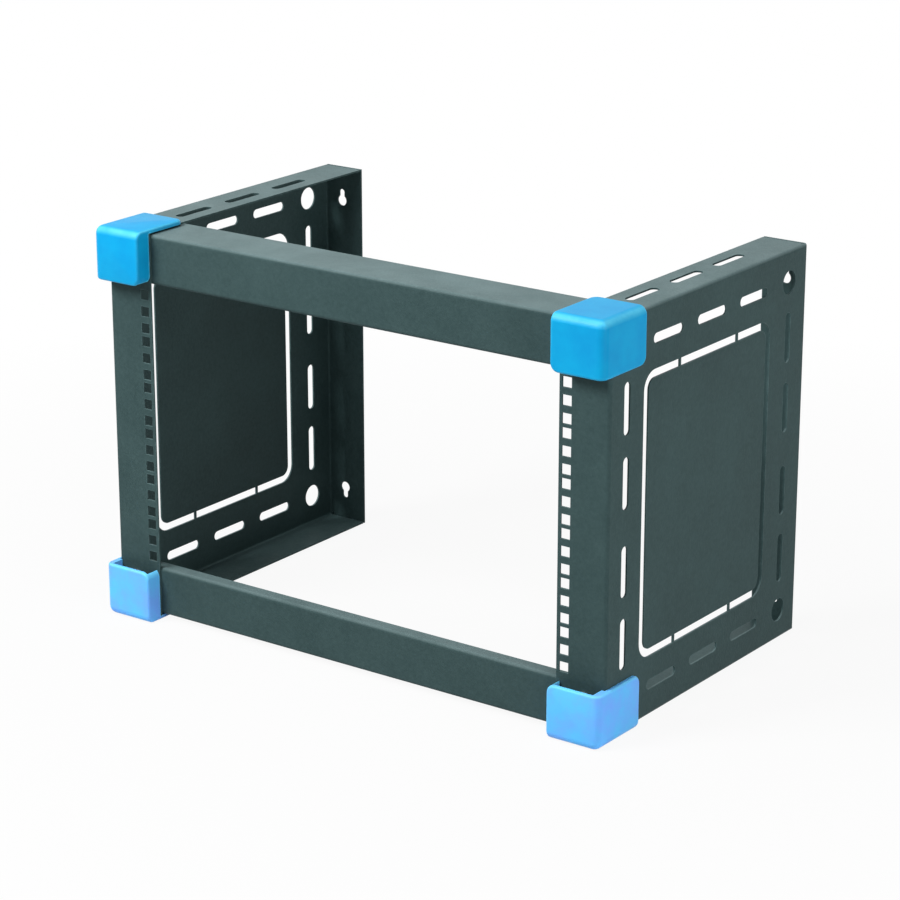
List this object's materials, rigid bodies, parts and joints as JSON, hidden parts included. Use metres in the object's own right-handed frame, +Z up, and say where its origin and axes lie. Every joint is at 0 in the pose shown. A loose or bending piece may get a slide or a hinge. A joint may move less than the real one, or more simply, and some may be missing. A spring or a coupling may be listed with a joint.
{
  "type": "wall-mount rack frame",
  "caption": "Open frame for 19-inch equipment: two folded, slotted side panels joined by cross rails at the front, with moulded caps on the front corners.",
  "frame": {"origin": "middle of the footprint of the whole frame, at its lowest point, the undersides of the lower corner caps", "axes": "+X to the right as seen from the front, +Y from the front towards the wall, +Z up"},
  "size_m": [0.558, 0.3384, 0.379],
  "materials": {
    "coated_steel": "satin powder coat, dark slate grey",
    "blue_plastic": "semi-gloss moulded plastic, bright blue",
    "zinc_fixings": "bright zinc plate"
  },
  "bodies": {
    "root": {"side_panel_right": "coated_steel", "side_panel_left": "coated_steel", "cross_rail_top": "coated_steel", "cross_rail_bottom": "coated_steel", "corner_cap_top_right": "blue_plastic", "bolt_top_right_a": "zinc_fixings", "nut_top_right_a": "zinc_fixings", "bolt_top_right_b": "zinc_fixings", "nut_top_right_b": "zinc_fixings", "corner_cap_top_left": "blue_plastic", "bolt_top_left_a": "zinc_fixings", "nut_top_left_a": "zinc_fixings", "bolt_top_left_b": "zinc_fixings", "nut_top_left_b": "zinc_fixings", "corner_cap_bottom_right": "blue_plastic", "bolt_bottom_right_a": "zinc_fixings", "nut_bottom_right_a": "zinc_fixings", "bolt_bottom_right_b": "zinc_fixings", "nut_bottom_right_b": "zinc_fixings", "corner_cap_bottom_left": "blue_plastic", "bolt_bottom_left_a": "zinc_fixings", "nut_bottom_left_a": "zinc_fixings", "bolt_bottom_left_b": "zinc_fixings", "nut_bottom_left_b": "zinc_fixings"}
  },
  "joints": []
}
